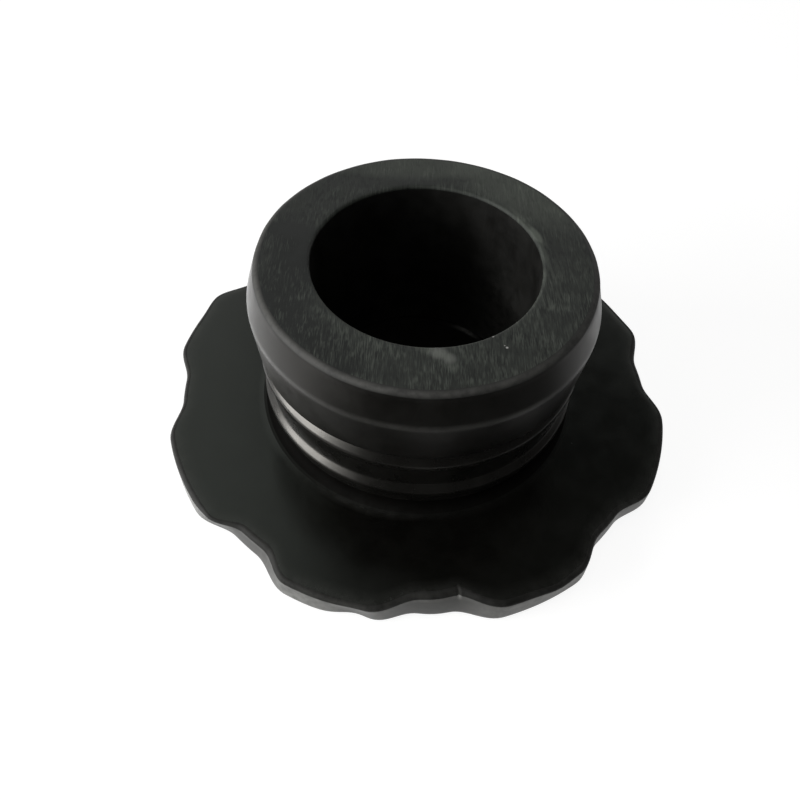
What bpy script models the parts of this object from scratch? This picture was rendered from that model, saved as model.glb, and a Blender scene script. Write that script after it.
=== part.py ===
"""Push-in oil filler cap, moulded in one piece: a fluted grip disc and a barbed, ribbed plug neck.

The cap rests on the outer face of its grip, with the open end of the neck upwards.
Its axis is Z, and the origin is the centre of the grip's outer face. Lengths are in metres.
"""

import math

import bmesh
import bpy
from mathutils import Vector

# Grip disc
GRIP_RADIUS = 0.0341
GRIP_THICKNESS = 0.0041
GRIP_SEAT_ROUND = 0.0007
GRIP_OUTER_ROUND = 0.0009
FLUTE_COUNT = 8
FLUTE_DEPTH = 0.0021
FLUTE_SPREAD = math.radians(28)
FLUTE_FLOOR = math.radians(6.5)

# Neck, measured up from the grip's seat face
NECK_HEIGHT = 0.0229
WAIST_RADIUS = 0.0198
FOOT_ROUND = 0.0014

# Two sealing ribs, each with a lead-in slope on its upper side
RIB_RADIUS = 0.0206
LOWER_RIB_RISE = 0.0040
RIB_PITCH = 0.0057
RIB_CREST = 0.0007
RIB_LEAD = 0.0008
RIB_BACK = 0.0010
RIB_ROUND = 0.0005

# Retaining barb at the end of the neck
END_RADIUS = 0.0201
END_EDGE_ROUND = 0.0008
BARB_RADIUS = 0.0214
BARB_LEAD = 0.0045
BARB_ROUND = 0.0030
TAIL_RADIUS = 0.0207
TAIL_BACK = 0.0006
TAIL_ROUND = 0.0004
TAIL_GROOVE = 0.00055

# Blind bore down the neck
BORE_RADIUS = 0.01365
BORE_DEPTH = 0.0240
BORE_DRAFT = math.radians(0.3)
BORE_LIP_ROUND = 0.0004
BORE_FLOOR_ROUND = 0.0006

# How finely round shapes are cut into flats
TURN_STEPS = 64
RIM_POINTS = 192
ROUND_STEPS = 3

# How far shapes that are joined or cut run past each other
OVERLAP = 0.0015
GRAZE = 0.00003

# Points closer than this are one point, and faces that meet flatter than this are one face
MERGE_DISTANCE = 0.00001
FLAT_ANGLE = 0.001

# Edges that meet more sharply than this are shaded sharp
SHARP_ANGLE = math.radians(35)

# Bevel shape of a quarter circle
ROUND_PROFILE = 0.5

RUBBER_COLOUR = (0.03, 0.031, 0.03, 1)
RUBBER_ROUGHNESS = 0.4

COLLECTION = "oil_filler_cap"
CUTTERS = "cap_cutters"


def clear_scene():
    for old in list(bpy.data.objects):
        bpy.data.objects.remove(old, do_unlink=True)


def new_collection(name):
    collection = bpy.data.collections.new(name)
    bpy.context.scene.collection.children.link(collection)
    return collection


def rounded_path(corners):
    """Points of a path whose corners are (radius, height, round) and are filleted by their round."""
    points = [Vector(corners[0][:2])]
    for before, corner, after in zip(corners, corners[1:], corners[2:]):
        tip = Vector(corner[:2])
        to_before = (Vector(before[:2]) - tip).normalized()
        to_after = (Vector(after[:2]) - tip).normalized()
        half_angle = to_before.angle(to_after) / 2
        fillet = corner[2]
        if fillet == 0:
            points.append(tip)
            continue
        centre = tip + (to_before + to_after).normalized() * fillet / math.sin(half_angle)
        reach = fillet / math.tan(half_angle)
        start = tip + to_before * reach - centre
        sweep = start.angle_signed(tip + to_after * reach - centre)
        for step in range(ROUND_STEPS + 1):
            turn = -sweep * step / ROUND_STEPS
            turned = Vector((
                start.x * math.cos(turn) - start.y * math.sin(turn),
                start.x * math.sin(turn) + start.y * math.cos(turn),
            ))
            points.append(centre + turned)
    points.append(Vector(corners[-1][:2]))
    return points


def turned_body(name, corners, collection):
    """A solid of revolution about Z, from a path that runs down its outer side."""
    points = rounded_path(corners)
    mesh = bpy.data.meshes.new(name)
    vertices = [(point.x, 0, point.y) for point in points]
    edges = [(index, index + 1) for index in range(len(points) - 1)]
    mesh.from_pydata(vertices, edges, [])
    body = bpy.data.objects.new(name, mesh)
    collection.objects.link(body)
    screw = body.modifiers.new("turn", "SCREW")
    screw.axis = "Z"
    screw.angle = math.tau
    screw.steps = TURN_STEPS
    screw.render_steps = TURN_STEPS
    screw.use_merge_vertices = True
    screw.merge_threshold = MERGE_DISTANCE
    return body


def neck_corners():
    """The neck's outline from the end face down its outer side, and into the grip disc."""
    seat = GRIP_THICKNESS
    end = seat + NECK_HEIGHT
    lower_rib = seat + LOWER_RIB_RISE
    upper_rib = lower_rib + RIB_PITCH
    groove_top = upper_rib + RIB_CREST / 2 + RIB_LEAD + TAIL_GROOVE
    root = WAIST_RADIUS + FOOT_ROUND
    corners = [
        (0, end, 0),
        (END_RADIUS, end, END_EDGE_ROUND),
        (BARB_RADIUS, end - BARB_LEAD, BARB_ROUND),
        (TAIL_RADIUS, groove_top + TAIL_BACK, TAIL_ROUND),
        (WAIST_RADIUS, groove_top, 0),
    ]
    for rib in (upper_rib, lower_rib):
        corners += [
            (WAIST_RADIUS, rib + RIB_CREST / 2 + RIB_LEAD, RIB_ROUND),
            (RIB_RADIUS, rib + RIB_CREST / 2, RIB_ROUND),
            (RIB_RADIUS, rib - RIB_CREST / 2, RIB_ROUND),
            (WAIST_RADIUS, rib - RIB_CREST / 2 - RIB_BACK, RIB_ROUND),
        ]
    corners += [
        (WAIST_RADIUS, seat - GRAZE, FOOT_ROUND),
        (root, seat - GRAZE, 0),
        (root, seat - OVERLAP, 0),
        (0, seat - OVERLAP, 0),
    ]
    return corners


def bore_corners():
    """The bore's outline, from above the end face down its drafted wall to its floor."""
    end = GRIP_THICKNESS + NECK_HEIGHT
    floor = end - BORE_DEPTH
    floor_radius = BORE_RADIUS - BORE_DEPTH * math.tan(BORE_DRAFT)
    mouth = BORE_RADIUS + BORE_LIP_ROUND
    return [
        (0, end + OVERLAP, 0),
        (mouth, end + OVERLAP, 0),
        (mouth, end + GRAZE, 0),
        (BORE_RADIUS, end + GRAZE, BORE_LIP_ROUND),
        (floor_radius, floor, BORE_FLOOR_ROUND),
        (0, floor, 0),
    ]


def rim_radius(angle):
    """The scalloped rim: broad lobes with a finger flute between each two, flat along its floor."""
    pitch = math.tau / FLUTE_COUNT
    off_flute = abs((angle + pitch / 2) % pitch - pitch / 2)
    climb = (off_flute - FLUTE_FLOOR / 2) / (FLUTE_SPREAD / 2 - FLUTE_FLOOR / 2)
    climb = min(max(climb, 0), 1)
    return GRIP_RADIUS - FLUTE_DEPTH * (1 + math.cos(math.pi * climb)) / 2


def rim_curve():
    """The grip's outline as a flat filled curve, extruded to the grip's thickness."""
    curve = bpy.data.curves.new("grip_outline", "CURVE")
    curve.dimensions = "2D"
    curve.fill_mode = "BOTH"
    curve.extrude = GRIP_THICKNESS / 2
    spline = curve.splines.new("POLY")
    spline.points.add(RIM_POINTS - 1)
    for index, point in enumerate(spline.points):
        angle = math.tau * index / RIM_POINTS
        radius = rim_radius(angle)
        point.co = (radius * math.cos(angle), radius * math.sin(angle), 0, 1)
    spline.use_cyclic_u = True
    return curve


def round_rim(shape, height, width):
    """Round the rim edges of a disc that lie at one height."""
    rim = [
        edge for edge in shape.edges
        if all(abs(vertex.co.z - height) < GRAZE for vertex in edge.verts)
    ]
    bmesh.ops.bevel(
        shape, geom=rim, offset=width, offset_type="OFFSET", segments=ROUND_STEPS,
        profile=ROUND_PROFILE, affect="EDGES", clamp_overlap=True,
    )


def grip_disc(collection):
    """The grip: a closed disc with a scalloped, rounded rim."""
    outline = bpy.data.objects.new("grip_outline", rim_curve())
    collection.objects.link(outline)
    outline.location.z = GRIP_THICKNESS / 2
    bpy.context.view_layer.update()
    depsgraph = bpy.context.evaluated_depsgraph_get()
    mesh = bpy.data.meshes.new_from_object(outline.evaluated_get(depsgraph))
    mesh.name = "grip_disc"
    mesh.transform(outline.matrix_world)
    bpy.data.objects.remove(outline, do_unlink=True)

    shape = bmesh.new()
    shape.from_mesh(mesh)
    bmesh.ops.remove_doubles(shape, verts=shape.verts, dist=MERGE_DISTANCE)
    flat = [edge for edge in shape.edges if edge.is_manifold and edge.calc_face_angle() < FLAT_ANGLE]
    bmesh.ops.dissolve_edges(shape, edges=flat, use_verts=False)
    round_rim(shape, GRIP_THICKNESS, GRIP_SEAT_ROUND)
    round_rim(shape, 0, GRIP_OUTER_ROUND)
    bmesh.ops.recalc_face_normals(shape, faces=shape.faces)
    shape.to_mesh(mesh)
    shape.free()

    disc = bpy.data.objects.new("grip_disc", mesh)
    collection.objects.link(disc)
    return disc


def combine(body, tool, operation):
    boolean = body.modifiers.new(operation.lower(), "BOOLEAN")
    boolean.operation = operation
    boolean.solver = "EXACT"
    boolean.object = tool


def hide_tool(tool):
    tool.hide_render = True
    tool.display_type = "WIRE"


def cap_rubber():
    material = bpy.data.materials.new("black_rubber")
    material.use_nodes = True
    shader = material.node_tree.nodes["Principled BSDF"]
    shader.inputs["Base Color"].default_value = RUBBER_COLOUR
    shader.inputs["Roughness"].default_value = RUBBER_ROUGHNESS
    material.diffuse_color = RUBBER_COLOUR
    return material


def build_cap():
    cap_collection = new_collection(COLLECTION)
    cutter_collection = new_collection(CUTTERS)
    neck = turned_body("neck_blank", neck_corners(), cutter_collection)
    grip = grip_disc(cutter_collection)
    bore = turned_body("bore_cutter", bore_corners(), cutter_collection)
    combine(neck, grip, "UNION")
    combine(neck, bore, "DIFFERENCE")
    for tool in (neck, grip, bore):
        hide_tool(tool)

    bpy.context.view_layer.update()
    depsgraph = bpy.context.evaluated_depsgraph_get()
    mesh = bpy.data.meshes.new_from_object(neck.evaluated_get(depsgraph))
    mesh.name = "filler_cap"
    mesh.materials.clear()
    mesh.materials.append(cap_rubber())
    mesh.shade_smooth()
    mesh.set_sharp_from_angle(angle=SHARP_ANGLE)
    cap = bpy.data.objects.new("filler_cap", mesh)
    cap_collection.objects.link(cap)
    return cap


clear_scene()
build_cap()
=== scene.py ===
"""Black rubber push-in oil filler cap, seen from above its open neck on a pale floor.

The cap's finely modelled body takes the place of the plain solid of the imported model.
Lengths are in metres. Z runs up the neck, and the grip's outer face lies on the floor at Z = 0.
"""

import math
from typing import NamedTuple

import bpy
import numpy as np
from bpy.props import FloatProperty, FloatVectorProperty, IntProperty, PointerProperty
from bpy.types import Operator, Panel, PropertyGroup
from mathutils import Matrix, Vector


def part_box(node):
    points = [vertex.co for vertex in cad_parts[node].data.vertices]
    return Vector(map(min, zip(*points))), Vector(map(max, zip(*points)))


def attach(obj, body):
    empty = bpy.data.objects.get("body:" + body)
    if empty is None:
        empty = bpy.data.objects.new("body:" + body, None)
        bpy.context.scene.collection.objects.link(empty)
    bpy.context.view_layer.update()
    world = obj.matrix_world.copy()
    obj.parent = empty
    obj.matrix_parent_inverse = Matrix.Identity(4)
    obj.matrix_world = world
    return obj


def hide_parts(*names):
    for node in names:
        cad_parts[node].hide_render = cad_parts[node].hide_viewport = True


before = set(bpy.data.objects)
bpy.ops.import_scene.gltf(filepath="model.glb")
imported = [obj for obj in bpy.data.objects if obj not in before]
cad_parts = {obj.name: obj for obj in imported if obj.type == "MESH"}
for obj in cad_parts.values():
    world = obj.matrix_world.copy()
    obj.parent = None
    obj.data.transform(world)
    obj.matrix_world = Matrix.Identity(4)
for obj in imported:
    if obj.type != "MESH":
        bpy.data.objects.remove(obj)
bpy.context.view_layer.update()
CAP_LOW, CAP_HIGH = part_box("filler_cap")

bl_info = {
    "name": "Oil filler cap",
    "version": (1, 0, 0),
    "blender": (4, 5, 0),
    "location": "3D View > Sidebar > Filler Cap",
    "description": "Builds a fluted rubber oil filler cap with a barbed, ribbed neck, and its studio",
    "category": "Object",
}

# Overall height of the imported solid, which the neck's height follows
CAP_HEIGHT = CAP_HIGH.z - CAP_LOW.z
GRIP_THICKNESS = 0.0041

# Finish zones in the order of the body's material slots
ZONES = (
    "floor", "bore", "ground", "edge", "barb", "tail", "ribs", "foot", "root", "grip", "rim", "side",
)

# Facets round the axis and in each round, and the longest step along the outline's runs
TURN_STEPS = 448
ROUND_STEPS = 6
RUN_STEP = {
    "floor": 0.0020, "bore": 0.0018, "ground": 0.0006, "barb": 0.0004,
    "tail": 0.0005, "ribs": 0.0003, "grip": 0.0010, "side": 0.0005,
}

# Rings between the rim and the middle of the outer face, as shares of its radius
OUTER_FACE_RINGS = (0.85, 0.7, 0.5, 0.3, 0.12)

# Edges that meet more sharply than this are shaded sharp
SHARP_ANGLE = math.radians(38)

# Share of the foot's fillet that is matt; the rest, its root, is half way to the grip's gloss
FOOT_SHARE = 0.7

# Points closer than this are one point
SAME_POINT = 1e-9

# Small unevenness of the trimmed end: waves round the axis as (count, height, phase)
TRIM_WAVES = (
    (1, 0.00006, math.pi),
    (3, 0.000035, 0.4),
    (7, 0.00002, 2.1),
    (13, 0.000012, 4.0),
    (29, 0.000008, 1.2),
)

# The waves grow from nothing at the bore's edge to their full size this far out
TRIM_WAVE_GROWTH = 0.004

# How each flute, counted from +X, departs from the regular one at the seat edge:
# (turn in degrees, depth, spread in degrees)
FLUTE_UNEVENNESS = (
    (2.0, 0.0, 0.0),
    (0.0, 0.0, 0.0),
    (0.0, 0.0, 0.0),
    (0.0, 0.0, 0.0),
    (0.3, -0.0002, 0.5),
    (3.0, 0.0002, -5.0),
    (0.5, 0.0003, 1.0),
    (-0.8, 0.0, -1.5),
)

# Slight swells of the rim, as
# (azimuth in degrees, half width, height at the seat edge, height at the outer edge)
RIM_SWELLS = (
    (149.5, 4.0, 0.0005, 0.0),
    (15.5, 4.0, 0.0003, 0.0),
    (295.5, 4.0, 0.0004, 0.0),
    (254.0, 4.5, 0.0, -0.0009),
    (270.0, 6.0, 0.0, 0.0004),
    (275.5, 3.5, -0.0004, 0.0),
)

# Wear of the lobes' outer walls, which the fingers rub more than the flutes; it also adds to the side
# wall's painted reflection of the pale floor
LOBE_WEAR = 0.9

# Wear and painted light round the axis: an even share, then places where there is more or less of it,
# as (azimuth in degrees, half width, share). On the grip's side wall it is rubbing and a painted
# reflection of the pale floor, more at the left; on its seat edge, a painted highlight band; at the
# neck's foot, a painted light band, most at the left front; on the barb's tail, a lighter band towards
# the window's side; on the bore's wall, painted light on its right side
WEAR_AND_PAINTED_LIGHT_ROUND = {
    "side": (0.72, ((240.0, 14.0, 0.28),)),
    "seat": (0.65, ((255.0, 13.0, 0.35), (283.0, 12.0, -0.25))),
    "foot": (0.15, ((247.0, 17.0, 0.85),)),
    "tail": (0.0, ((203.0, 34.0, 1.0),)),
    "bore": (0.0, ((20.0, 26.0, 1.0),)),
}

# Painted highlight band on the seat face close to the rim
SEAT_EDGE_PAINTED_HIGHLIGHT = 0.22

# Painted light on the bore's right wall begins at this depth, and is full this much deeper
BORE_PAINTED_LIGHT_DEPTH = 0.004
BORE_PAINTED_LIGHT_GROWTH = 0.010

# A small tear in the grip's seat edge, which starts at this share of the grip's thickness; its face
# carries a painted highlight
NICK_AZIMUTH = math.radians(275.2)
NICK_HALF_WIDTH = math.radians(0.6)
NICK_DEPTH = 0.0003
NICK_PAINTED_HIGHLIGHT = 4.2
NICK_FOOT = 0.72

# Mesh columns that draw the tear: how many, how far they reach to each side, and how far
# the even columns stay clear of it, both in half widths
NICK_COLUMNS = 14
NICK_COLUMNS_REACH = 1.5
NICK_COLUMNS_CLEAR = 1.7

# A painted highlight along the corner of the bore's floor
BORE_FLOOR_HIGHLIGHT_AZIMUTH = math.radians(52)
BORE_FLOOR_HIGHLIGHT_HALF_WIDTH = math.radians(7)

# Rubbed and soiled patches on the ground end face, as
# (x, y, half length, half width, turn in degrees, strength); dark ones are negative
FACE_PATCHES = (
    (0.0000, -0.0145, 0.0020, 0.0007, -27, 0.42),
    (0.0012, -0.0159, 0.0015, 0.0008, -60, 0.36),
    (0.0136, 0.0041, 0.0013, 0.0005, 107, 0.75),
    (0.0129, 0.0056, 0.0036, 0.0004, 114, 0.35),
    (0.0140, 0.0012, 0.0030, 0.0003, 95, 0.35),
    (0.0006, 0.0178, 0.0090, 0.0024, 0, 0.36),
    (0.0128, 0.0128, 0.0100, 0.0042, 135, 0.44),
    (-0.0138, -0.0120, 0.0095, 0.0026, -50, -0.20),
    (-0.0166, -0.0010, 0.0080, 0.0036, 90, -0.22),
    (-0.0186, 0.0010, 0.0040, 0.0009, 80, 0.14),
)

# Light grit and chalky smears on the end face, as (x, y, half width, share)
FACE_GRIT = (
    (0.00756, -0.01404, 0.00013, 1.0),
    (0.00628, -0.01242, 0.00010, 0.8),
    (0.00735, -0.01375, 0.00008, 0.6),
    (0.00020, -0.01450, 0.00090, 0.13),
    (0.00130, -0.01540, 0.00070, 0.11),
)

# More scratches on the end face, as (direction in degrees, spacing, length, share, strength):
# ones that grow over a range of Y towards the front, crossed ones that grow over a range of X
# at the right, and gaps where the others are worn off
FRONT_SCRATCHES = (4, 0.00016, 0.0016, 0.58, 0.56)
FRONT_RANGE = (0.004, -0.009)
RIGHT_SCRATCHES = (-1, 0.00046, 0.0048, 0.40, 0.50)
RIGHT_RANGE = (0.009, 0.014)
SCRATCH_GAPS = (4, 0.00036, 0.0016, 0.55, 0.18)

# Squared distance from a spot's middle, in its half sizes, at which it has faded out
SPOT_FADE = 1.9

# Sizes of the skin's slow unevenness and of the gaps in its worn edges
CLOUD_SIZE = 0.0035
BREAKUP_SIZE = 0.0012

# How much of a scratch is left where the skin's cloud is least
LEAST_SCRATCH = 0.4

# How much rougher a fully rubbed place is, and the roughest that any place gets
RUB_ROUGHENING = 0.25
MOST_ROUGHNESS = 0.9

# Levels of the noise between which the cloud goes from nothing to full
CLOUD_RANGE = (0.3, 0.7)

# Streaks that make up the scratches, as (shift into the noise, share of the spacing)
SCRATCH_LAYERS = ((0.0, 1.0), (7.3, 0.5), (3.1, 2.1))

# Level of the noise where a scratch starts, how far a full share lowers it, and how far above
# it the scratch is full
SCRATCH_LEVEL = 0.72
SCRATCH_SHARE_DROP = 0.35
SCRATCH_SOFTNESS = 0.21

# Patches of denser scratches: their scale against the length of a scratch, the levels of the
# noise between which they grow, and what is left between them
SCRATCH_PATCH_SCALE = 0.8
SCRATCH_PATCH_RANGE = (0.34, 0.62)
SCRATCH_PATCH_LEAST = 0.20

# Least size of a grain of dust and how much larger it may be, as shares of the given size,
# and the share of a grain inside which it is solid
DUST_LEAST = 0.4
DUST_SPREAD = 0.8
DUST_CORE = 0.6

# Levels of the noise between which worn skin grows, and what is left between
BREAKUP_RANGE = (0.25, 0.65)
BREAKUP_LEAST = 0.35

# The floor: its half width, its clearance under the cap, its own glow to the camera and in
# reflections near the cap and far from it, the distances between which the glow changes, and
# the share that it takes of the floor's tone
FLOOR_HALF = 4.0
FLOOR_CLEARANCE = 0.00002
FLOOR_GLOW = 1.25
FAR_FLOOR_GLOW = 1.42
FLOOR_GLOW_CHANGE = (0.20, 0.80)
FLOOR_GLOW_SHARE = 0.70

# Cards that only reflections show: a dome of walls, which ends just short of its pole, and a
# sheet that lies above the floor
CARD_RADIUS = 0.9
CARD_LIFT = 0.0004
DOME_ROWS = 24
DOME_COLUMNS = 96
DOME_SHARE = 0.998

# Bright openings in the wall card, as (azimuth, half width, fade, rise where it is shut,
# rise where it is open, share), with angles in degrees: the sky at the left and back, low
# down at the back, and beside the window; the rest of the card is this dark
WALL_OPENINGS = (
    (140, 36, 9, 80, 66, 0.80),
    (78, 34, 20, 44, 35, 0.80),
    (196, 14, 20, 55, 30, 0.5),
)
WALL_DARKNESS = 0.95

# Patches of the floor card, as (azimuth, half width, fade, radius where it starts, radius
# where it is full, share): painted shadow on the camera's side and at the right, and a glowing
# painted reflection of the lit floor towards the window, next to the cap
DARK_FLOOR = (
    (284, 42, 42, 0.036, 0.044, 1.0),
    (8, 30, 36, 0.046, 0.062, 0.72),
)
FLOOR_DARKNESS = 0.93
PAINTED_BRIGHT_FLOOR = (156, 40, 30, 0.056, 0.041, 1.5)

# Panels of light, as (azimuth and rise in degrees, distance, width, height)
WINDOW = (189.5, 20, 0.40, 0.24, 0.13)
CURTAIN = (214, 20, 0.40, 0.11, 0.13)
OVERHEAD = (262, 88, 0.55, 0.42, 0.36)

# The camera: its lens and sensor in millimetres, its clipping distances, its place, and its
# turn about X, Y and Z in degrees
LENS = 35.15
SENSOR_WIDTH = 36
CLIP_START = 0.002
CLIP_END = 20
CAMERA_PLACE = (-0.008592, -0.068777, 0.088575)
CAMERA_TURN = (38.017, -1.785, -2.961)


def length(name, description, default):
    """A size in metres."""
    return FloatProperty(name=name, description=description, default=default, unit="LENGTH", precision=5)


def angle(name, description, degrees):
    """An angle, given in degrees."""
    return FloatProperty(
        name=name, description=description, default=math.radians(degrees), unit="ROTATION")


def colour(name, description, value):
    """A colour with its alpha."""
    return FloatVectorProperty(
        name=name, description=description, subtype="COLOR", size=4, min=0, max=1, default=value)


def radiance(name, description, default):
    """A brightness, where 1 is white."""
    return FloatProperty(name=name, description=description + ", where 1 is white", default=default, min=0)


class FillerCapSizes(PropertyGroup):
    """Sizes of the moulded cap."""

    grip_radius: length("Grip radius", "From the axis to the crest of a lobe", 0.0341)
    grip_thickness: length("Grip thickness", "Thickness of the fluted disc", GRIP_THICKNESS)
    seat_round: length("Seat edge round", "Round of the grip's edge on the neck side", 0.0007)
    outer_round: length("Outer edge round", "Round of the grip's edge on the outer side", 0.0009)
    flute_count: IntProperty(
        name="Flutes", description="Finger flutes round the grip", default=8, min=3, max=24)
    flute_depth: length("Flute depth", "How far a flute cuts into the grip", 0.0021)
    flute_spread: angle("Flute spread", "Angle that a flute takes up round the grip", 28)
    flute_floor: angle("Flute floor", "Angle of a flute's even floor", 6.5)
    neck_height: length("Neck height", "From the seat face to the end face", CAP_HEIGHT - GRIP_THICKNESS)
    waist_radius: length("Waist radius", "Neck between and below the ribs", 0.0198)
    foot_round: length("Foot round", "Fillet where the neck meets the seat face", 0.0014)
    rib_radius: length("Rib radius", "Crest of the two sealing ribs", 0.0206)
    lower_rib_rise: length("Lower rib rise", "Lower rib above the seat face", 0.0040)
    rib_pitch: length("Rib pitch", "From the lower rib to the upper one", 0.0057)
    rib_crest: length("Rib crest", "Flat on top of a rib", 0.0007)
    rib_lead: length("Rib lead", "Height of a rib's lead-in slope", 0.0008)
    rib_back: length("Rib back", "Height of a rib's rear slope", 0.0010)
    rib_round: length("Rib round", "Round of a rib's corners", 0.0005)
    end_radius: length("End radius", "Neck at its end face", 0.0201)
    end_edge_round: length("End edge round", "Round of the end face's outer edge", 0.0008)
    barb_radius: length("Barb radius", "Crest of the retaining barb", 0.0214)
    barb_lead: length("Barb lead", "From the end face to the barb's crest", 0.0045)
    barb_round: length("Barb round", "Round of the barb's crest", 0.0030)
    tail_radius: length("Tail radius", "Lower end of the barb", 0.0207)
    tail_back: length("Tail back", "Height of the step under the barb", 0.0006)
    tail_round: length("Tail round", "Round of the barb's lower edge", 0.0004)
    tail_groove: length("Tail groove", "Gap between the barb and the upper rib", 0.00055)
    bore_radius: length("Bore radius", "Bore at the end face", 0.01365)
    bore_depth: length("Bore depth", "From the end face to the bore's floor", 0.0240)
    bore_draft: angle("Bore draft", "Taper of the bore's wall", 0.3)
    bore_lip_round: length("Bore lip round", "Round of the bore's mouth", 0.0004)
    bore_floor_round: length("Bore floor round", "Fillet at the bore's floor", 0.0006)


class FillerCapColours(PropertyGroup):
    """Colours of the rubber."""

    rubber: colour("Moulded rubber", "Moulded skin of the rubber", (0.0023, 0.0021, 0.0017, 1))
    ground: colour("Ground rubber", "Trimmed and ground rubber of the end face", (0.0030, 0.0045, 0.0032, 1))
    rubbed: colour("Rubbed rubber", "Scratches on the ground end face", (0.084, 0.093, 0.079, 1))
    # Colour of worn edges and hazy skin, also used for painted highlights and painted light bands
    bloom: colour("Bloom", "Worn edges and hazy moulded skin", (0.121, 0.121, 0.112, 1))
    dust: colour("Dust", "Grit and dust that lies on the rubber", (0.42, 0.42, 0.40, 1))


class FillerCapStudio(PropertyGroup):
    """Floor, lights and cards round the cap."""

    floor_colour: colour("Floor", "Pale floor under the cap", (0.82, 0.82, 0.81, 1))
    window_radiance: radiance("Window light", "Brightness of the window on the left", 14.2)
    curtain_radiance: radiance("Curtain light", "Brightness of the curtain beside the window", 3.0)
    sky_radiance: radiance("Overhead light", "Brightness of the soft light overhead", 1.3)
    room_light: radiance("Room light", "Even light from all round", 0.2)


def feed(tree, socket, value):
    """Set an input to a value, or link another node's output to it."""
    if isinstance(value, bpy.types.NodeSocket):
        tree.links.new(value, socket)
    else:
        socket.default_value = value


def add(tree, kind, inputs=None, **settings):
    """A new node with its settings, and inputs that are values or other nodes' outputs."""
    node = tree.nodes.new(kind)
    for name, value in settings.items():
        setattr(node, name, value)
    for name, value in (inputs or {}).items():
        feed(tree, node.inputs[name], value)
    return node


def calc(tree, operation, *values):
    """The result of a sum on values or other nodes' outputs."""
    return add(tree, "ShaderNodeMath", dict(enumerate(values)), operation=operation).outputs[0]


def blend(tree, share, first, second):
    """A colour between two others."""
    node = add(tree, "ShaderNodeMix", {0: share, 6: first, 7: second}, data_type="RGBA")
    return node.outputs[2]


def ramp(tree, value, low, high, start=0.0, end=1.0):
    """Value taken from the range low to high into the range start to end, with soft ends."""
    node = add(tree, "ShaderNodeMapRange", interpolation_type="SMOOTHSTEP", inputs={
        "Value": value, "From Min": low, "From Max": high, "To Min": start, "To Max": end})
    return node.outputs["Result"]


def new_group(name, inputs, outputs):
    """An empty shader node group with named float sockets."""
    group = bpy.data.node_groups.new(name, "ShaderNodeTree")
    for title, value in inputs:
        socket = group.interface.new_socket(name=title, in_out="INPUT", socket_type="NodeSocketFloat")
        socket.default_value = value
    for title in outputs:
        group.interface.new_socket(name=title, in_out="OUTPUT", socket_type="NodeSocketFloat")
    return group, add(group, "NodeGroupInput").outputs, add(group, "NodeGroupOutput").inputs


def moulded_grain():
    """Fine pimples and slow unevenness of a moulded or ground rubber skin."""
    group, given, result = new_group(
        "Moulded grain", (("Grain Size", 0.0002), ("Cloud Size", 0.003)), ("Height", "Cloud"))
    place = add(group, "ShaderNodeTexCoord").outputs["Object"]
    fine = add(group, "ShaderNodeTexNoise", {
        "Vector": place, "Scale": calc(group, "DIVIDE", 1.0, given["Grain Size"]),
        "Detail": 2.0, "Roughness": 0.6})
    cloud = add(group, "ShaderNodeTexNoise", {
        "Vector": place, "Scale": calc(group, "DIVIDE", 1.0, given["Cloud Size"]),
        "Detail": 3.0, "Roughness": 0.55})
    group.links.new(fine.outputs["Fac"], result["Height"])
    group.links.new(ramp(group, cloud.outputs["Fac"], *CLOUD_RANGE), result["Cloud"])
    return group


def drawn_scratches():
    """Straight fine scratches that run one way across a face."""
    group, given, result = new_group(
        "Drawn scratches",
        (("Direction", 0.0), ("Spacing", 0.00016), ("Length", 0.004), ("Share", 0.3)), ("Mask",))
    place = add(group, "ShaderNodeTexCoord").outputs["Object"]
    turned = add(
        group, "ShaderNodeVectorRotate", {"Vector": place, "Angle": given["Direction"]},
        rotation_type="Z_AXIS")
    parts = add(group, "ShaderNodeSeparateXYZ", {"Vector": turned.outputs[0]})
    masks = []
    for shift, share in SCRATCH_LAYERS:
        line = add(group, "ShaderNodeCombineXYZ", {
            "X": calc(
                group, "DIVIDE", parts.outputs["X"], calc(group, "MULTIPLY", given["Spacing"], share)),
            "Y": calc(group, "DIVIDE", parts.outputs["Y"], given["Length"]),
            "Z": shift})
        streak = add(group, "ShaderNodeTexNoise", {"Vector": line.outputs[0], "Scale": 1.0, "Detail": 1.0})
        low = calc(group, "MULTIPLY_ADD", given["Share"], -SCRATCH_SHARE_DROP, SCRATCH_LEVEL)
        masks.append(ramp(group, streak.outputs["Fac"], low, calc(group, "ADD", low, SCRATCH_SOFTNESS)))
    strewn = calc(group, "MAXIMUM", masks[0], calc(group, "MAXIMUM", masks[1], masks[2]))
    patches = add(group, "ShaderNodeTexNoise", {
        "Vector": place, "Scale": calc(group, "DIVIDE", SCRATCH_PATCH_SCALE, given["Length"]),
        "Detail": 2.0})
    denser = ramp(group, patches.outputs["Fac"], *SCRATCH_PATCH_RANGE, SCRATCH_PATCH_LEAST)
    group.links.new(calc(group, "MULTIPLY", strewn, denser), result["Mask"])
    return group


def settled_dust():
    """Separate grains of dust, of which only a share of the cells holds one."""
    group, given, result = new_group(
        "Settled dust", (("Spacing", 0.0012), ("Grain", 0.00008), ("Share", 0.2)), ("Mask",))
    place = add(group, "ShaderNodeTexCoord").outputs["Object"]
    cells = add(group, "ShaderNodeTexVoronoi", {
        "Vector": place, "Scale": calc(group, "DIVIDE", 1.0, given["Spacing"]), "Randomness": 1.0})
    pick = add(group, "ShaderNodeSeparateColor", {"Color": cells.outputs["Color"]})
    chosen = calc(group, "LESS_THAN", pick.outputs["Red"], given["Share"])
    larger = calc(group, "MULTIPLY_ADD", pick.outputs["Green"], DUST_SPREAD, DUST_LEAST)
    reach = calc(group, "MULTIPLY", given["Grain"], larger)
    away = calc(group, "MULTIPLY", cells.outputs["Distance"], given["Spacing"])
    near = calc(group, "DIVIDE", away, reach)
    group.links.new(calc(group, "MULTIPLY", ramp(group, near, 1.0, DUST_CORE), chosen), result["Mask"])
    return group


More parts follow.
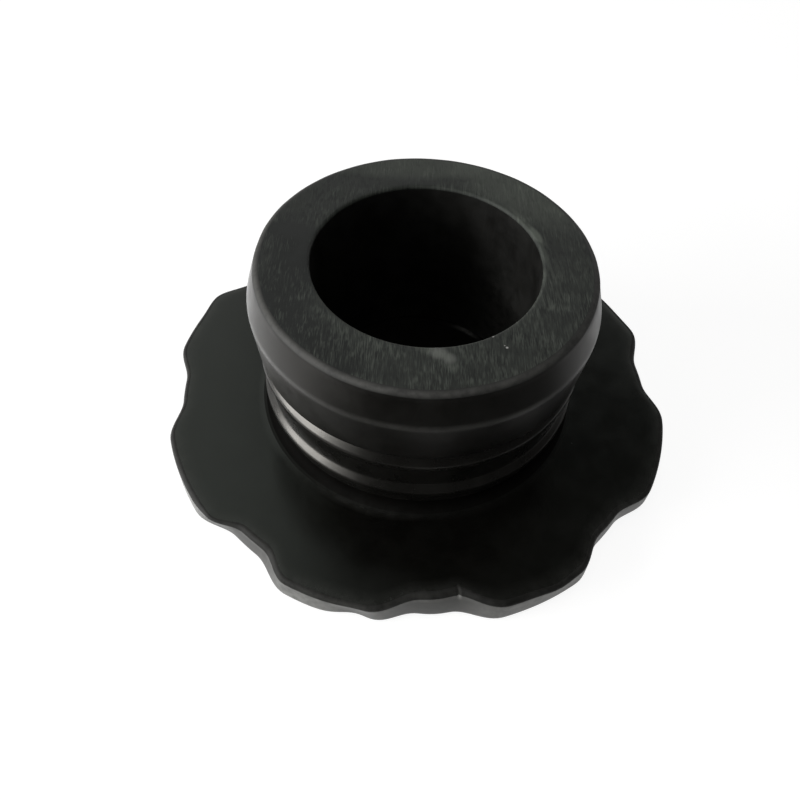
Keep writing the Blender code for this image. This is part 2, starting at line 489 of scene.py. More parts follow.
def worn_edge_and_painted_light():
    """Rubbed skin along an edge, and painted light from the same attribute, broken up where the rubbing
    missed it.
    """
    group, given, result = new_group("Worn edge", (("Edge", 0.0), ("Breakup Size", 0.0011)), ("Mask",))
    place = add(group, "ShaderNodeTexCoord").outputs["Object"]
    noise = add(group, "ShaderNodeTexNoise", {
        "Vector": place, "Scale": calc(group, "DIVIDE", 1.0, given["Breakup Size"]),
        "Detail": 3.0, "Roughness": 0.65})
    kept = ramp(group, noise.outputs["Fac"], *BREAKUP_RANGE, BREAKUP_LEAST)
    group.links.new(calc(group, "MULTIPLY", given["Edge"], kept), result["Mask"])
    return group


def place_group(tree, group, **values):
    """A group node with its inputs set by name, where an underscore stands for a space."""
    inputs = {name.replace("_", " "): value for name, value in values.items()}
    return add(tree, "ShaderNodeGroup", inputs, node_tree=group).outputs


def place_scratches(tree, groups, direction, spacing, run, share):
    """The mask of one set of scratches, with its direction in degrees."""
    return place_group(
        tree, groups["scratches"], Direction=math.radians(direction), Spacing=spacing, Length=run,
        Share=share)["Mask"]


def spot_mask(tree, parts, x, y, half_length, half_width, turn):
    """A soft-edged oval on the end face."""
    east = calc(tree, "SUBTRACT", parts.outputs["X"], x)
    north = calc(tree, "SUBTRACT", parts.outputs["Y"], y)
    cos, sin = math.cos(math.radians(turn)), math.sin(math.radians(turn))
    slopes = ((cos / half_length, sin / half_length), (-sin / half_width, cos / half_width))
    squares = []
    for per_east, per_north in slopes:
        off = calc(
            tree, "ADD", calc(tree, "MULTIPLY", east, per_east), calc(tree, "MULTIPLY", north, per_north))
        squares.append(calc(tree, "MULTIPLY", off, off))
    return ramp(tree, calc(tree, "ADD", *squares), SPOT_FADE, 0.0)


class Finish(NamedTuple):
    """Values that set one zone of the rubber apart from the others.

    Haze is the share of rubbed colour as (least, most), grain is (size, depth), scratches are
    (direction in degrees, spacing, length, share, strength) and dust is (spacing, grain, share).
    """

    name: str
    roughness: float
    spread: float
    specular: float
    haze: tuple
    grain: tuple
    scratches: tuple
    dust: tuple
    wear: float
    base: str = "rubber"
    worn: str = "bloom"
    tint: tuple = (1.0, 1.0, 1.0)


# Tints of what the rubber reflects
WARM = (1.0, 0.965, 0.90)
GREENISH = (0.90, 1.0, 0.90)

# Scratches and dust that several zones share
NECK_SCRATCHES = (60, 0.0004, 0.003, 0.10, 0.06)
GRIP_SCRATCHES = (25, 0.0003, 0.005, 0.04, 0.05)
NECK_DUST = (0.0030, 0.00006, 0.12)
GRIP_DUST = (0.0022, 0.00007, 0.10)

FINISHES = {
    "floor": Finish(
        "Bore floor rubber", 0.80, 0.05, 0.12, (0.0, 0.01), (0.00030, 0.000004),
        (90, 0.0004, 0.004, 0.05, 0.02), (0.0030, 0.00006, 0.05), 0.70),
    "bore": Finish(
        "Bore rubber", 0.42, 0.08, 0.35, (0.03, 0.08), (0.00030, 0.000004),
        (90, 0.0004, 0.004, 0.15, 0.05), (0.0030, 0.00006, 0.10), 0.60),
    "ground": Finish(
        "Ground end face", 0.60, 0.10, 0.45, (0.06, 0.17), (0.00014, 0.000010),
        (5.0, 0.00018, 0.0022, 0.50, 0.45), (0.0020, 0.00006, 0.06), 0.30, "ground", "rubbed"),
    "edge": Finish(
        "Worn end edge", 0.58, 0.06, 0.40, (0.07, 0.15), (0.00022, 0.000003),
        NECK_SCRATCHES, NECK_DUST, 0.40),
    "barb": Finish(
        "Barb rubber", 0.36, 0.06, 0.33, (0.01, 0.04), (0.00022, 0.000003),
        NECK_SCRATCHES, NECK_DUST, 0.30, tint=WARM),
    "tail": Finish(
        "Barb tail rubber", 0.37, 0.06, 0.35, (0.01, 0.04), (0.00022, 0.000003),
        NECK_SCRATCHES, (0.0020, 0.00006, 0.20), 0.13, tint=WARM),
    "ribs": Finish(
        "Rib rubber", 0.28, 0.05, 0.5, (0.02, 0.05), (0.00030, 0.000002),
        (60, 0.0004, 0.003, 0.05, 0.03), (0.0030, 0.00006, 0.10), 0.02, tint=WARM),
    "foot": Finish(
        "Neck foot rubber", 0.72, 0.06, 0.03, (0.0, 0.01), (0.00030, 0.000003),
        GRIP_SCRATCHES, GRIP_DUST, 0.25),
    "root": Finish(
        "Neck root rubber", 0.46, 0.06, 0.14, (0.0, 0.01), (0.00030, 0.000003),
        GRIP_SCRATCHES, GRIP_DUST, 0.25, tint=GREENISH),
    "grip": Finish(
        "Grip rubber", 0.23, 0.05, 0.46, (0.0, 0.01), (0.00035, 0.000002),
        GRIP_SCRATCHES, GRIP_DUST, 0.30, tint=GREENISH),
    "rim": Finish(
        "Grip rim rubber", 0.60, 0.06, 0.20, (0.0, 0.03), (0.00030, 0.000003),
        GRIP_SCRATCHES, GRIP_DUST, 0.30),
    # The side wall's light grey, from its haze and its wear in dust colour, is partly dust and rubbing and
    # partly a painted reflection of the pale floor, more at the left
    "side": Finish(
        "Grip side rubber", 0.45, 0.08, 0.40, (0.11, 0.18), (0.00025, 0.000006),
        (90, 0.0005, 0.003, 0.25, 0.08), (0.0020, 0.00008, 0.20), 0.42, worn="dust"),
}


def rubber_material(finish, colours, groups):
    """One zone's material: grain, scratches, dust, worn edges and painted light on the rubber's own colour.
    """
    material = bpy.data.materials.new(finish.name)
    material.use_nodes = True
    tree = material.node_tree
    shader = tree.nodes["Principled BSDF"]
    shader.inputs["Specular IOR Level"].default_value = finish.specular
    shader.inputs["Specular Tint"].default_value = (*finish.tint, 1.0)
    base = tuple(getattr(colours, finish.base))

    grain_size, grain_depth = finish.grain
    grain = place_group(tree, groups["grain"], Grain_Size=grain_size, Cloud_Size=CLOUD_SIZE)
    *scratches, strength = finish.scratches
    scratch = place_scratches(tree, groups, *scratches)
    spacing, size, share = finish.dust
    dust = place_group(tree, groups["dust"], Spacing=spacing, Grain=size, Share=share)
    # Per-point wear, and the painted highlights, light bands and reflections carried in the same attribute
    edge = add(tree, "ShaderNodeAttribute", attribute_name="edge_wear").outputs["Fac"]
    worn = place_group(tree, groups["wear"], Edge=edge, Breakup_Size=BREAKUP_SIZE)

    clouded = calc(tree, "MULTIPLY_ADD", grain["Cloud"], 1 - LEAST_SCRATCH, LEAST_SCRATCH)
    rub = calc(tree, "MULTIPLY", calc(tree, "MULTIPLY", scratch, clouded), strength)
    rub = calc(tree, "ADD", rub, calc(tree, "MULTIPLY", worn["Mask"], finish.wear))
    least, most = finish.haze
    rub = calc(tree, "ADD", rub, calc(tree, "MULTIPLY_ADD", grain["Cloud"], most - least, least))
    specks = dust["Mask"]
    if finish.base == "ground":
        rub, specks = end_face_marks(tree, groups, rub, specks)
    rub = calc(tree, "MINIMUM", rub, 1.0)

    skin = blend(tree, rub, base, tuple(getattr(colours, finish.worn)))
    tree.links.new(blend(tree, specks, skin, tuple(colours.dust)), shader.inputs["Base Color"])
    rough = calc(tree, "MULTIPLY_ADD", grain["Cloud"], finish.spread, finish.roughness - finish.spread / 2)
    rough = calc(tree, "ADD", rough, calc(tree, "MULTIPLY", rub, RUB_ROUGHENING))
    tree.links.new(calc(tree, "MINIMUM", rough, MOST_ROUGHNESS), shader.inputs["Roughness"])
    relief = calc(tree, "SUBTRACT", grain["Height"], calc(tree, "MULTIPLY", scratch, strength))
    bump = add(tree, "ShaderNodeBump", {"Height": relief, "Distance": grain_depth, "Strength": 1.0})
    tree.links.new(bump.outputs["Normal"], shader.inputs["Normal"])
    material.diffuse_color = base
    return material


def end_face_marks(tree, groups, rub, specks):
    """Adds the end face's crossed scratches, rubbed and soiled patches and grit."""
    place = add(tree, "ShaderNodeTexCoord").outputs["Object"]
    parts = add(tree, "ShaderNodeSeparateXYZ", {"Vector": place})
    for scratches, axis, reach in ((FRONT_SCRATCHES, "Y", FRONT_RANGE), (RIGHT_SCRATCHES, "X", RIGHT_RANGE)):
        *scratches, strength = scratches
        growing = ramp(tree, parts.outputs[axis], *reach, 0.0, strength)
        rub = calc(tree, "ADD", rub, calc(
            tree, "MULTIPLY", place_scratches(tree, groups, *scratches), growing))
    *scratches, strength = SCRATCH_GAPS
    rub = calc(tree, "SUBTRACT", rub, calc(
        tree, "MULTIPLY", place_scratches(tree, groups, *scratches), strength))
    for *patch, strength in FACE_PATCHES:
        rub = calc(tree, "ADD", rub, calc(tree, "MULTIPLY", spot_mask(tree, parts, *patch), strength))
    rub = calc(tree, "MAXIMUM", rub, 0.0)
    for x, y, size, share in FACE_GRIT:
        grit = calc(tree, "MULTIPLY", spot_mask(tree, parts, x, y, size, size, 0), share)
        specks = calc(tree, "MAXIMUM", specks, grit)
    return rub, specks


def fillet(before, corner, after, radius):
    """Points of the arc that rounds a corner."""
    to_before = (before - corner).normalized()
    to_after = (after - corner).normalized()
    half_angle = to_before.angle(to_after) / 2
    centre = corner + (to_before + to_after).normalized() * radius / math.sin(half_angle)
    reach = radius / math.tan(half_angle)
    start = corner + to_before * reach - centre
    sweep = start.angle_signed(corner + to_after * reach - centre)
    points = []
    for step in range(ROUND_STEPS + 1):
        turn = -sweep * step / ROUND_STEPS
        points.append(centre + Vector((
            start.x * math.cos(turn) - start.y * math.sin(turn),
            start.x * math.sin(turn) + start.y * math.cos(turn))))
    return points


def neck_path(sizes):
    """Corners of the outline from the bore's floor, over the end face and down to the seat face.

    Each is (radius, height, round, zone of the corner, zone of the run after it, wear and painted
    light on the corner).
    """
    seat = sizes.grip_thickness
    end = seat + sizes.neck_height
    floor = end - sizes.bore_depth
    floor_radius = sizes.bore_radius - sizes.bore_depth * math.tan(sizes.bore_draft)
    lower_rib = seat + sizes.lower_rib_rise
    upper_rib = lower_rib + sizes.rib_pitch
    groove_top = upper_rib + sizes.rib_crest / 2 + sizes.rib_lead + sizes.tail_groove
    corners = [
        (0, floor, 0, "floor", "floor", 0),
        (floor_radius, floor, sizes.bore_floor_round, "floor", "bore", 1),
        (sizes.bore_radius, end, sizes.bore_lip_round, "ground", "ground", 0.7),
        (sizes.end_radius, end, sizes.end_edge_round, "edge", "barb", 1),
        (sizes.barb_radius, end - sizes.barb_lead, sizes.barb_round, "barb", "tail", 0.55),
        (sizes.tail_radius, groove_top + sizes.tail_back, sizes.tail_round, "ribs", "ribs", 0.2),
        (sizes.waist_radius, groove_top, 0, "ribs", "ribs", 0),
    ]
    for rib in (upper_rib, lower_rib):
        top = rib + sizes.rib_crest / 2
        low = rib - sizes.rib_crest / 2
        corners += [
            (sizes.waist_radius, top + sizes.rib_lead, sizes.rib_round, "ribs", "ribs", 0),
            (sizes.rib_radius, top, sizes.rib_round, "ribs", "ribs", 0.3),
            (sizes.rib_radius, low, sizes.rib_round, "ribs", "ribs", 0.3),
            (sizes.waist_radius, low - sizes.rib_back, sizes.rib_round, "ribs", "ribs", 0),
        ]
    corners += [
        # The foot's fillet and the plate next to it carry a painted light band, growing towards the seat
        # face
        (sizes.waist_radius, seat, sizes.foot_round, "foot", "grip", 0.5),
        (sizes.waist_radius + sizes.foot_round, seat, 0, "grip", "grip", 0.15),
    ]
    return corners


def neck_rings(sizes):
    """Rings of the neck, each (radius, share of the rim's outline, inset, height, zone, wear and painted
    light).
    """
    corners = neck_path(sizes)
    rings = []
    previous = None
    for index, (radius, height, round_, zone, run_zone, wear) in enumerate(corners):
        points = [Vector((radius, height))]
        if round_:
            before = Vector(corners[index - 1][:2])
            after = Vector(corners[index + 1][:2])
            points = fillet(before, points[0], after, round_)
        if previous is not None:
            start, between = previous
            gap = (points[0] - start).length
            steps = max(1, math.ceil(gap / RUN_STEP[between]))
            for step in range(1, steps):
                spot = start.lerp(points[0], step / steps)
                rings.append((spot.x, 0.0, 0.0, spot.y, between, 0.0))
            if gap < SAME_POINT:
                points = points[1:]
        last = len(points) - 1
        for step, spot in enumerate(points):
            share = step / last if last > 0 else 0.5
            # On the foot's fillet the value grows towards the seat face: a painted light band
            middle = share ** 3 if zone == "foot" else math.sin(math.pi * share)
            ring_zone = "root" if zone == "foot" and share > FOOT_SHARE else zone
            if step == last:
                ring_zone = run_zone
            rings.append((spot.x, 0.0, 0.0, spot.y, ring_zone, wear * middle))
        previous = (points[-1] if points else start, run_zone)
    return rings


def grip_rings(sizes):
    """Rings of the grip from the neck's foot over the rim to the middle of the outer face.

    Their share says how far a ring goes from its own radius to the rim's outline.
    """
    seat = sizes.grip_thickness
    root = sizes.waist_radius + sizes.foot_round
    reach = sizes.grip_radius - sizes.seat_round - root
    steps = math.ceil(reach / RUN_STEP["grip"])
    # The last seat ring before the rim carries a painted highlight band
    rings = [
        (root, step / steps, sizes.seat_round, seat, "grip", SEAT_EDGE_PAINTED_HIGHLIGHT if step == steps - 1 else 0.0)
        for step in range(1, steps)]
    # The rim's round: rubbing and a painted highlight band, set round the axis by the seat pattern
    for step in range(ROUND_STEPS + 1):
        turn = math.pi / 2 * step / ROUND_STEPS
        zone = "rim" if step < ROUND_STEPS - 1 else "side"
        inset = sizes.seat_round * (1 - math.sin(turn))
        height = seat - sizes.seat_round * (1 - math.cos(turn))
        rings.append((root, 1.0, inset, height, zone, 0.5 + 0.5 * math.sin(2 * turn)))
    wall = seat - sizes.seat_round - sizes.outer_round
    steps = math.ceil(wall / RUN_STEP["side"])
    rings += [
        (root, 1.0, 0.0, seat - sizes.seat_round - wall * step / steps, "side", 0.0)
        for step in range(1, steps)]
    for step in range(ROUND_STEPS + 1):
        turn = math.pi / 2 * step / ROUND_STEPS
        inset = sizes.outer_round * (1 - math.cos(turn))
        height = sizes.outer_round * (1 - math.sin(turn))
        rings.append((root, 1.0, inset, height, "side", math.sin(2 * turn)))
    rings += [(0.0, share, sizes.outer_round, 0.0, "side", 0.0) for share in OUTER_FACE_RINGS]
    rings.append((0.0, 0.0, 0.0, 0.0, "side", 0.0))
    return rings


def angle_off(azimuth, middle):
    """How far azimuths are from a middle, the short way round."""
    return np.abs((azimuth - middle + math.pi) % math.tau - math.pi)


def swell(azimuth, middle, half_width):
    """A bell curve round the axis, 1 at its middle, with its place and half width in degrees."""
    return np.exp(-(angle_off(azimuth, math.radians(middle)) / math.radians(half_width)) ** 2)


def rim_radius(sizes, azimuth, share):
    """The scalloped rim, with a share of the seat edge's unevenness."""
    pitch = math.tau / sizes.flute_count
    radius = np.full(len(azimuth), sizes.grip_radius)
    half_floor = sizes.flute_floor / 2
    for number in range(sizes.flute_count):
        uneven = FLUTE_UNEVENNESS[number % len(FLUTE_UNEVENNESS)]
        turn, deeper, wider = (share * value for value in uneven)
        off_flute = angle_off(azimuth, number * pitch + math.radians(turn))
        half_spread = (sizes.flute_spread + math.radians(wider)) / 2
        climb = np.clip((off_flute - half_floor) / (half_spread - half_floor), 0, 1)
        radius = radius - (sizes.flute_depth + deeper) * (1 + np.cos(math.pi * climb)) / 2
    for middle, half_width, at_seat, at_outer in RIM_SWELLS:
        height = share * at_seat + (1 - share) * at_outer
        radius = radius + height * swell(azimuth, middle, half_width)
    return radius


def wear_and_painted_light_round(turns, pattern):
    """Wear and painted light round the axis: its even share, with more or less of it in places."""
    even, places = pattern
    wear = np.full(len(turns), even)
    for middle, half_width, share in places:
        wear += share * swell(turns, middle, half_width)
    return wear


def azimuths():
    """Azimuths of the mesh's columns, with extra ones at the nick."""
    even = np.arange(TURN_STEPS) * math.tau / TURN_STEPS
    across = np.linspace(-NICK_COLUMNS_REACH, NICK_COLUMNS_REACH, NICK_COLUMNS)
    clear = np.abs(even - NICK_AZIMUTH) > NICK_HALF_WIDTH * NICK_COLUMNS_CLEAR
    return np.sort(np.concatenate([even[clear], NICK_AZIMUTH + across * NICK_HALF_WIDTH]))


def ring_wear_and_painted_light(sizes, ring, rim, turns, around):
    """Wear and painted light of one ring's points, from the ring's own value and the patterns round the
    axis.
    """
    _, share, _, height, zone, edge = ring
    worn = np.full(len(turns), edge)
    if zone == "floor":
        # the bore floor's corner: a painted highlight at one azimuth
        worn = worn * np.exp(-((turns - BORE_FLOOR_HIGHLIGHT_AZIMUTH) / BORE_FLOOR_HIGHLIGHT_HALF_WIDTH) ** 2)
    elif zone == "tail":
        # the barb's tail: lighter towards azimuth 203 degrees, the window's side
        worn = around["tail"]
    elif zone == "bore":
        depth = sizes.grip_thickness + sizes.neck_height - height
        deep = (depth - BORE_PAINTED_LIGHT_DEPTH) / BORE_PAINTED_LIGHT_GROWTH
        # the bore's wall: painted light on its right side, growing with depth
        worn = around["bore"] * min(max(deep, 0), 1) ** 2
    elif share > 0 and height > sizes.grip_thickness / 2:
        # the seat face and its edge: a painted highlight band and rubbing
        worn = worn * around["seat"]
    elif zone in ("foot", "root", "grip"):
        # the neck's foot: a painted light band, most at the left front
        worn = worn * around["foot"]
    # the side wall: rubbed lobes and a painted reflection of the pale floor, more at the left
    if zone == "side" and share == 1.0:
        lobe = 1 - (sizes.grip_radius - rim) / sizes.flute_depth
        worn = np.maximum(worn, LOBE_WEAR * lobe * np.abs(lobe)) * around["side"]
    return worn


def skin_points(sizes, rings, turns):
    """Points of the rings, and the wear and painted light at each."""
    columns = len(turns)
    end = sizes.grip_thickness + sizes.neck_height
    mouth = sizes.bore_radius + sizes.bore_lip_round
    lower_rim = rim_radius(sizes, turns, 0.0)
    seat_rim = rim_radius(sizes, turns, 1.0)
    nick = np.clip(1 - np.abs(turns - NICK_AZIMUTH) / NICK_HALF_WIDTH, 0, 1)
    wave = sum(size * np.sin(count * turns + phase) for count, size, phase in TRIM_WAVES)
    around = {name: wear_and_painted_light_round(turns, pattern) for name, pattern in WEAR_AND_PAINTED_LIGHT_ROUND.items()}
    points, wear = [], []
    for ring in rings[1:-1]:
        radius, share, inset, height = ring[:4]
        rise = min(max(height / sizes.grip_thickness, 0), 1) ** 2
        rim = lower_rim + (seat_rim - lower_rim) * rise
        reach = radius * (1 - share) + (rim - inset) * share
        tear_painted_highlight = np.zeros(columns)
        if share == 1.0 and height > sizes.grip_thickness * NICK_FOOT:
            depth = (height / sizes.grip_thickness - NICK_FOOT) / (1 - NICK_FOOT)
            reach = reach - nick * NICK_DEPTH * depth
            # painted highlight on the tear's face
            tear_painted_highlight = nick * NICK_PAINTED_HIGHLIGHT * depth * (1 - depth)
        if radius > mouth and end - height < sizes.end_edge_round:
            reach = reach + wave * min(1, (reach.mean() - sizes.bore_radius) / TRIM_WAVE_GROWTH)
        points.append(np.stack(
            [reach * np.cos(turns), reach * np.sin(turns), np.full(columns, height)], 1))
        wear.append(ring_wear_and_painted_light(sizes, ring, rim, turns, around) + tear_painted_highlight)
    points.append(np.array([[0, 0, rings[0][3]], [0, 0, rings[-1][3]]]))
    wear.append(np.zeros(2))
    return np.concatenate(points), np.concatenate(wear)


def skin_faces(rings, columns):
    """Faces that join the rings and close the two middles, and the number of each one's zone."""
    faces, zones = [], []
    following = np.roll(np.arange(columns), -1)
    for row in range(len(rings) - 3):
        low = row * columns + np.arange(columns)
        low_next = row * columns + following
        faces += np.stack([low, low_next, low_next + columns, low + columns], 1).tolist()
        zones += [ZONES.index(rings[row + 1][4])] * columns
    last = (len(rings) - 3) * columns
    middle = last + columns
    for column, after in enumerate(following.tolist()):
        faces.append((middle, after, column))
        faces.append((middle + 1, last + column, last + after))
        zones += [ZONES.index("floor"), ZONES.index("side")]
    return faces, zones


def body_mesh(sizes):
    """The whole cap as one closed skin of rings about the axis."""
    rings = neck_rings(sizes) + grip_rings(sizes)
    turns = azimuths()
    points, wear = skin_points(sizes, rings, turns)
    faces, zones = skin_faces(rings, len(turns))
    mesh = bpy.data.meshes.new("filler_cap_body")
    mesh.from_pydata(points.tolist(), [], faces)
    mesh.polygons.foreach_set("material_index", zones)
    # Wear and painted light at each point: real rubbing, and painted highlights, light bands and reflections
    edge_wear = mesh.attributes.new("edge_wear", "FLOAT", "POINT")
    edge_wear.data.foreach_set("value", wear.astype(np.float32))
    mesh.shade_smooth()
    mesh.set_sharp_from_angle(angle=SHARP_ANGLE)
    mesh.validate()
    return mesh


class FILLERCAP_OT_body(Operator):
    """Build the rubber cap with its ground end face, barb, ribs and fluted grip"""

    bl_idname = "filler_cap.build_body"
    bl_label = "Build Cap"

    def execute(self, context):
        scene = context.scene
        groups = {
            "grain": moulded_grain(),
            "scratches": drawn_scratches(),
            "dust": settled_dust(),
            "wear": worn_edge_and_painted_light(),
        }
        body = bpy.data.objects.new("filler_cap_body", body_mesh(scene.filler_cap_sizes))
        scene.collection.objects.link(body)
        for zone in ZONES:
            body.data.materials.append(rubber_material(FINISHES[zone], scene.filler_cap_colours, groups))
        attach(body, "root")
        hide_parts("filler_cap")
        return {"FINISHED"}


def bare_material(name):
    """A material without nodes, and its tree."""
    material = bpy.data.materials.new(name)
    material.use_nodes = True
    material.node_tree.nodes.clear()
    return material, material.node_tree


def shown_directly(tree):
    """1 for what the camera sees, straight or in reflections, and 0 for light that scatters."""
    seen = add(tree, "ShaderNodeLightPath").outputs
    return calc(tree, "MAXIMUM", seen["Is Camera Ray"], calc(
        tree, "MAXIMUM", seen["Is Glossy Ray"], seen["Is Transmission Ray"]))


def floor_material(colour):
    """Pale floor that shows white to the camera and in reflections, and keeps the cap's shadow."""
    material, tree = bare_material("Pale floor")
    matt = add(tree, "ShaderNodeBsdfDiffuse", {"Color": tuple(colour)})
    place = add(tree, "ShaderNodeTexCoord").outputs["Object"]
    away = add(tree, "ShaderNodeVectorMath", {0: place}, operation="LENGTH").outputs["Value"]
    glow = ramp(tree, away, *FLOOR_GLOW_CHANGE, FLOOR_GLOW, FAR_FLOOR_GLOW)
    white = add(tree, "ShaderNodeEmission", {"Color": (1, 1, 1, 1), "Strength": glow})
    mixed = add(tree, "ShaderNodeMixShader", {
        0: calc(tree, "MULTIPLY", shown_directly(tree), FLOOR_GLOW_SHARE),
        1: matt.outputs[0],
        2: white.outputs[0]})
    add(tree, "ShaderNodeOutputMaterial", {"Surface": mixed.outputs[0]})
    return material


def room_world(strength):
    """White to the camera and in reflections, and a soft even light on everything."""
    world = bpy.data.worlds.new("Studio room")
    world.use_nodes = True
    tree = world.node_tree
    tree.nodes.clear()
    level = ramp(tree, shown_directly(tree), 0.0, 1.0, strength, 1.0)
    background = add(tree, "ShaderNodeBackground", {"Color": (1, 1, 1, 1), "Strength": level})
    add(tree, "ShaderNodeOutputWorld", {"Surface": background.outputs[0]})
    return world


def card_material(name, cover, glow=None):
    """Card that is black where its cover mask is 1 and clear where it is 0, and that may glow."""
    material, tree = bare_material(name)
    place = add(tree, "ShaderNodeTexCoord").outputs["Object"]
    x, y, z = add(tree, "ShaderNodeSeparateXYZ", {"Vector": place}).outputs
    azimuth = calc(tree, "ARCTAN2", y, x)
    flat = calc(tree, "SQRT", calc(tree, "ADD", calc(tree, "POWER", x, 2.0), calc(tree, "POWER", y, 2.0)))
    rise = calc(tree, "ARCTAN2", z, flat)
    clear = add(tree, "ShaderNodeBsdfTransparent")
    dark = add(tree, "ShaderNodeBsdfDiffuse", {"Color": (0, 0, 0, 1)})
    surface = add(tree, "ShaderNodeMixShader", {
        0: cover(tree, azimuth, rise, flat), 1: clear.outputs[0], 2: dark.outputs[0]})
    if glow:
        painted_reflection = add(tree, "ShaderNodeEmission", {"Strength": glow(tree, azimuth, flat)})
        surface = add(tree, "ShaderNodeAddShader", {0: surface.outputs[0], 1: painted_reflection.outputs[0]})
    add(tree, "ShaderNodeOutputMaterial", {"Surface": surface.outputs[0]})
    return material


def card_patch(tree, azimuth, across, patch):
    """A patch of a card: a sector of azimuths that grows over a range of rise or radius."""
    middle, half_width, fade, start, full, share = patch
    off = calc(tree, "COSINE", calc(tree, "SUBTRACT", azimuth, math.radians(middle)))
    inside = ramp(tree, off, math.cos(math.radians(half_width + fade)), math.cos(math.radians(half_width)))
    return calc(tree, "MULTIPLY", inside, ramp(tree, across, start, full, 0.0, share))


def wall_cover(tree, azimuth, rise, flat):
    """A dark room with bright openings."""
    bright = 0.0
    for middle, half_width, fade, shut, clear, share in WALL_OPENINGS:
        patch = (middle, half_width, fade, math.radians(shut), math.radians(clear), share)
        bright = calc(tree, "MAXIMUM", bright, card_patch(tree, azimuth, rise, patch))
    return calc(tree, "MULTIPLY", calc(tree, "SUBTRACT", 1.0, bright), WALL_DARKNESS)


def floor_cover(tree, azimuth, rise, flat):
    """The floor's dark sides, in the shadow of the camera and the room."""
    patches = [card_patch(tree, azimuth, flat, patch) for patch in DARK_FLOOR]
    return calc(tree, "MULTIPLY", calc(tree, "MAXIMUM", *patches), FLOOR_DARKNESS)


def painted_floor_reflection(tree, azimuth, flat):
    """A glowing patch of the floor card towards the window, next to the cap: a painted reflection of the lit
    floor.
    """
    return card_patch(tree, azimuth, flat, PAINTED_BRIGHT_FLOOR)


def stage_object(name, mesh, material, context):
    """An object of the studio, which is no part of the cap."""
    thing = bpy.data.objects.new(name, mesh)
    context.scene.collection.objects.link(thing)
    thing.data.materials.append(material)
    return thing


def sheet_mesh(name, half):
    """A square sheet."""
    mesh = bpy.data.meshes.new(name)
    corners = [(-half, -half, 0), (half, -half, 0), (half, half, 0), (-half, half, 0)]
    mesh.from_pydata(corners, [], [(0, 1, 2, 3)])
    return mesh


def dome_mesh(name, radius):
    """A half dome, open below."""
    mesh = bpy.data.meshes.new(name)
    points = []
    for row in range(DOME_ROWS + 1):
        rise = math.pi / 2 * row / DOME_ROWS * DOME_SHARE
        for column in range(DOME_COLUMNS):
            turn = math.tau * column / DOME_COLUMNS
            points.append((
                radius * math.cos(rise) * math.cos(turn), radius * math.cos(rise) * math.sin(turn),
                radius * math.sin(rise)))
    faces = []
    for row in range(DOME_ROWS):
        for column in range(DOME_COLUMNS):
            low = row * DOME_COLUMNS + column
            after = row * DOME_COLUMNS + (column + 1) % DOME_COLUMNS
            faces.append((low, after, after + DOME_COLUMNS, low + DOME_COLUMNS))
    mesh.from_pydata(points, [], faces)
    return mesh


def only_in_reflections(card):
    """Hide a card from everything but reflections."""
    card.visible_camera = False
    card.visible_diffuse = False
    card.visible_transmission = False
    card.visible_volume_scatter = False
    card.visible_shadow = False


def area_light(name, place, level, context):
    """A soft panel that faces the cap, with its brightness given as a radiance."""
    azimuth, rise, distance, width, height = place
    light = bpy.data.lights.new(name, "AREA")
    light.shape = "RECTANGLE"
    light.size = width
    light.size_y = height
    light.energy = level * math.pi * width * height
    panel = bpy.data.objects.new(name, light)
    context.scene.collection.objects.link(panel)
    turn, lift = math.radians(azimuth), math.radians(rise)
    panel.location = (
        distance * math.cos(lift) * math.cos(turn), distance * math.cos(lift) * math.sin(turn),
        distance * math.sin(lift) + CAP_HEIGHT / 2)
    aim = Vector((0, 0, CAP_HEIGHT / 2)) - panel.location
    panel.rotation_euler = aim.to_track_quat("-Z", "Y").to_euler()
    return panel


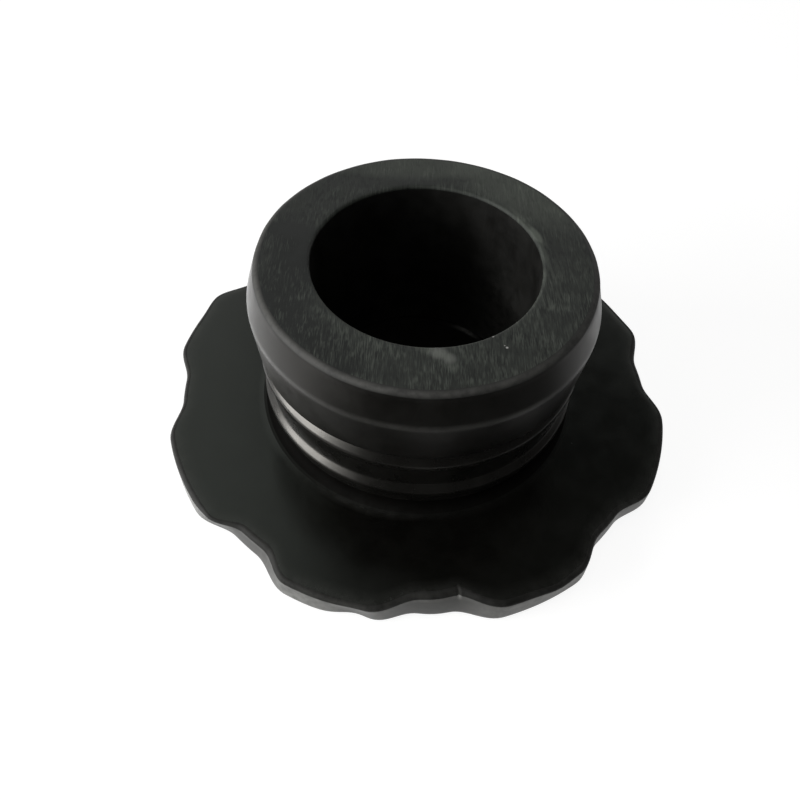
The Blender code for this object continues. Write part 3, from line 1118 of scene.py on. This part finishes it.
class FILLERCAP_OT_stage(Operator):
    """Build the floor, the lights, the cards that darken reflections, and the camera"""

    bl_idname = "filler_cap.build_stage"
    bl_label = "Build Studio"

    def execute(self, context):
        studio = context.scene.filler_cap_studio
        floor = stage_object(
            "floor", sheet_mesh("floor", FLOOR_HALF), floor_material(studio.floor_colour), context)
        floor.location.z = -FLOOR_CLEARANCE
        walls = stage_object(
            "dark_wall_cards", dome_mesh("dark_wall_cards", CARD_RADIUS),
            card_material("Wall cards", wall_cover), context)
        # The floor card paints shadow and a bright floor into reflections only
        carpet = stage_object(
            "dark_floor_card", sheet_mesh("dark_floor_card", CARD_RADIUS),
            card_material("Floor card", floor_cover, painted_floor_reflection), context)
        carpet.location.z = CARD_LIFT
        for card in (walls, carpet):
            only_in_reflections(card)

        area_light("window", WINDOW, studio.window_radiance, context)
        area_light("curtain", CURTAIN, studio.curtain_radiance, context)
        overhead = area_light("overhead", OVERHEAD, studio.sky_radiance, context)
        overhead.visible_glossy = False
        context.scene.world = room_world(studio.room_light)
        context.scene.view_settings.view_transform = "Standard"

        lens = bpy.data.cameras.new("camera")
        lens.lens = LENS
        lens.sensor_width = SENSOR_WIDTH
        lens.clip_start = CLIP_START
        lens.clip_end = CLIP_END
        camera = bpy.data.objects.new("camera", lens)
        context.scene.collection.objects.link(camera)
        camera.location = CAMERA_PLACE
        camera.rotation_euler = [math.radians(turn) for turn in CAMERA_TURN]
        context.scene.camera = camera
        return {"FINISHED"}


class FILLERCAP_PT_panel(Panel):
    """Sizes, colours and steps of the filler cap"""

    bl_idname = "FILLERCAP_PT_panel"
    bl_label = "Oil Filler Cap"
    bl_space_type = "VIEW_3D"
    bl_region_type = "UI"
    bl_category = "Filler Cap"

    def draw(self, context):
        layout = self.layout
        scene = context.scene
        for settings in (scene.filler_cap_sizes, scene.filler_cap_colours, scene.filler_cap_studio):
            box = layout.box()
            for name in settings.bl_rna.properties.keys():
                if name not in ("rna_type", "name"):
                    box.prop(settings, name)
        layout.operator("filler_cap.build_body")
        layout.operator("filler_cap.build_stage")


CLASSES = (
    FillerCapSizes, FillerCapColours, FillerCapStudio,
    FILLERCAP_OT_body, FILLERCAP_OT_stage, FILLERCAP_PT_panel,
)


def register():
    for item in CLASSES:
        bpy.utils.register_class(item)
    bpy.types.Scene.filler_cap_sizes = PointerProperty(type=FillerCapSizes)
    bpy.types.Scene.filler_cap_colours = PointerProperty(type=FillerCapColours)
    bpy.types.Scene.filler_cap_studio = PointerProperty(type=FillerCapStudio)


def unregister():
    del bpy.types.Scene.filler_cap_studio
    del bpy.types.Scene.filler_cap_colours
    del bpy.types.Scene.filler_cap_sizes
    for item in reversed(CLASSES):
        bpy.utils.unregister_class(item)


def main():
    register()
    bpy.ops.filler_cap.build_body()
    bpy.ops.filler_cap.build_stage()


if __name__ == "__main__":
    main()
